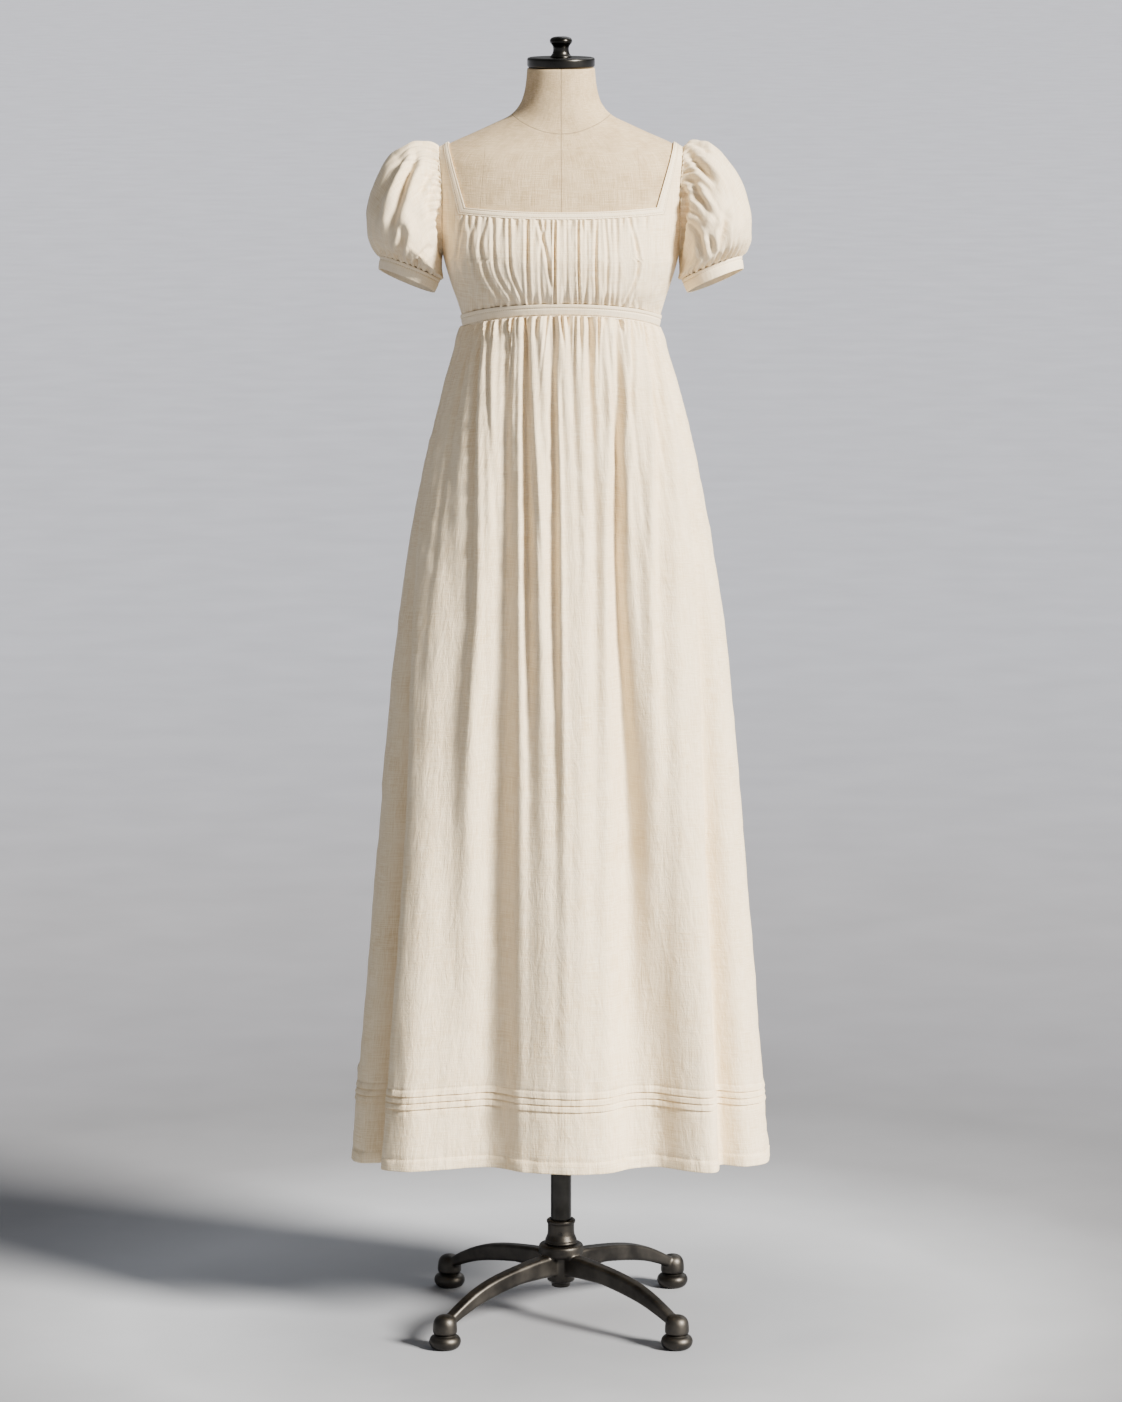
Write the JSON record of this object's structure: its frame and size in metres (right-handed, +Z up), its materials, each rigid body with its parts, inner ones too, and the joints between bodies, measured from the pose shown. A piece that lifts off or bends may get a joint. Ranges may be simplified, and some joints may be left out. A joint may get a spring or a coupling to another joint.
{
  "type": "regency gown on a dress form",
  "caption": "High-waisted cream gown with short puffed sleeves, square neck and tucked hem, worn by a limbless linen dress form on an iron stand.",
  "frame": {"origin": "on the floor, at the pole's axis, between the feet", "axes": "+Z up along the pole; -Y is the front of the gown; +X is the viewer's right when facing the front"},
  "size_m": [0.5679, 0.3538, 1.74],
  "materials": {
    "gown_cloth": "washed cream cotton and linen weave",
    "gown_bands": "the same cloth folded double and stitched",
    "form_linen": "unbleached linen pasted over a hard form",
    "gunmetal": "dark satin gunmetal",
    "bronzed_iron": "dark bronzed satin casting"
  },
  "bodies": {
    "root": {"bodice_front": "gown_cloth", "bodice_back_left": "gown_cloth", "bodice_back_right": "gown_cloth", "sleeve_left": "gown_cloth", "sleeve_right": "gown_cloth", "skirt_front": "gown_cloth", "skirt_back": "gown_cloth", "neck_binding": "gown_bands", "waistband": "gown_bands", "cuff_left": "gown_bands", "cuff_right": "gown_bands", "form_body": "form_linen", "neck_cap": "gunmetal", "neck_knob": "gunmetal", "pole": "gunmetal", "set_screw": "gunmetal", "pole_socket": "bronzed_iron", "base_casting": "bronzed_iron", "foot_front_left": "bronzed_iron", "foot_front_right": "bronzed_iron", "foot_back_left": "bronzed_iron", "foot_back_right": "bronzed_iron"}
  },
  "joints": []
}
